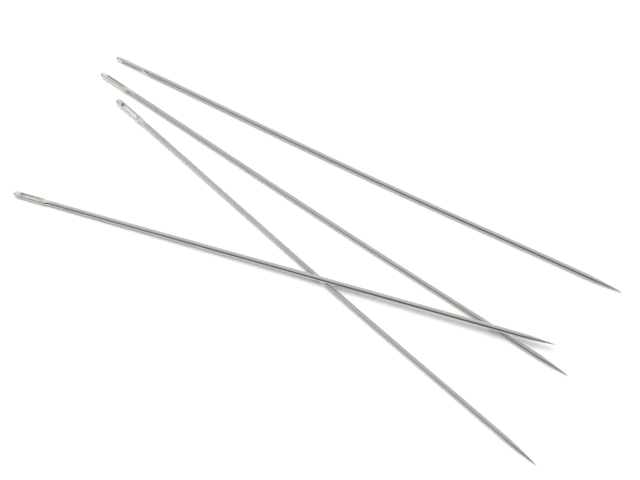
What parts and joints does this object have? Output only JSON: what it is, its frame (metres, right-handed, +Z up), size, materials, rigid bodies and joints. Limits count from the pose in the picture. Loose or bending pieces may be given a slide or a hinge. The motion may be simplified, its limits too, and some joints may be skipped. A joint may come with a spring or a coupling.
{
  "type": "long eyed hand needles",
  "caption": "Long polished steel hand needles, each with an elongated eye in a grooved, flattened head and one ground point, lying loosely across each other.",
  "frame": {"origin": "bottom centre of the bounding box of the whole set, on the surface that the needles lie on", "axes": "+Z up from the surface; +X to the right, from the eye ends towards the points; +Y away from the viewer, towards the back needle's eye"},
  "size_m": [0.137, 0.0954, 0.0032],
  "materials": {
    "needle_steel": "polished, with fine lengthwise drawing lines and grinding marks on the point"
  },
  "bodies": {
    "back_needle": {"back_needle_head": "needle_steel", "back_needle_shaft": "needle_steel"},
    "middle_needle": {"middle_needle_head": "needle_steel", "middle_needle_shaft": "needle_steel"},
    "front_needle": {"front_needle_head": "needle_steel", "front_needle_shaft": "needle_steel"},
    "crossing_needle": {"crossing_needle_head": "needle_steel", "crossing_needle_shaft": "needle_steel"}
  },
  "joints": [
    {"name": "front_needle_lift", "type": "slide", "parent": "middle_needle", "child": "front_needle", "axis": [0, 0, 1], "range_m": [0, 0.04]},
    {"name": "crossing_needle_lift", "type": "slide", "parent": "front_needle", "child": "crossing_needle", "axis": [0, 0, 1], "range_m": [0, 0.04]},
    {"name": "back_needle_lift", "type": "slide", "parent": "middle_needle", "child": "back_needle", "axis": [0, 0, 1], "range_m": [0, 0.04]}
  ]
}
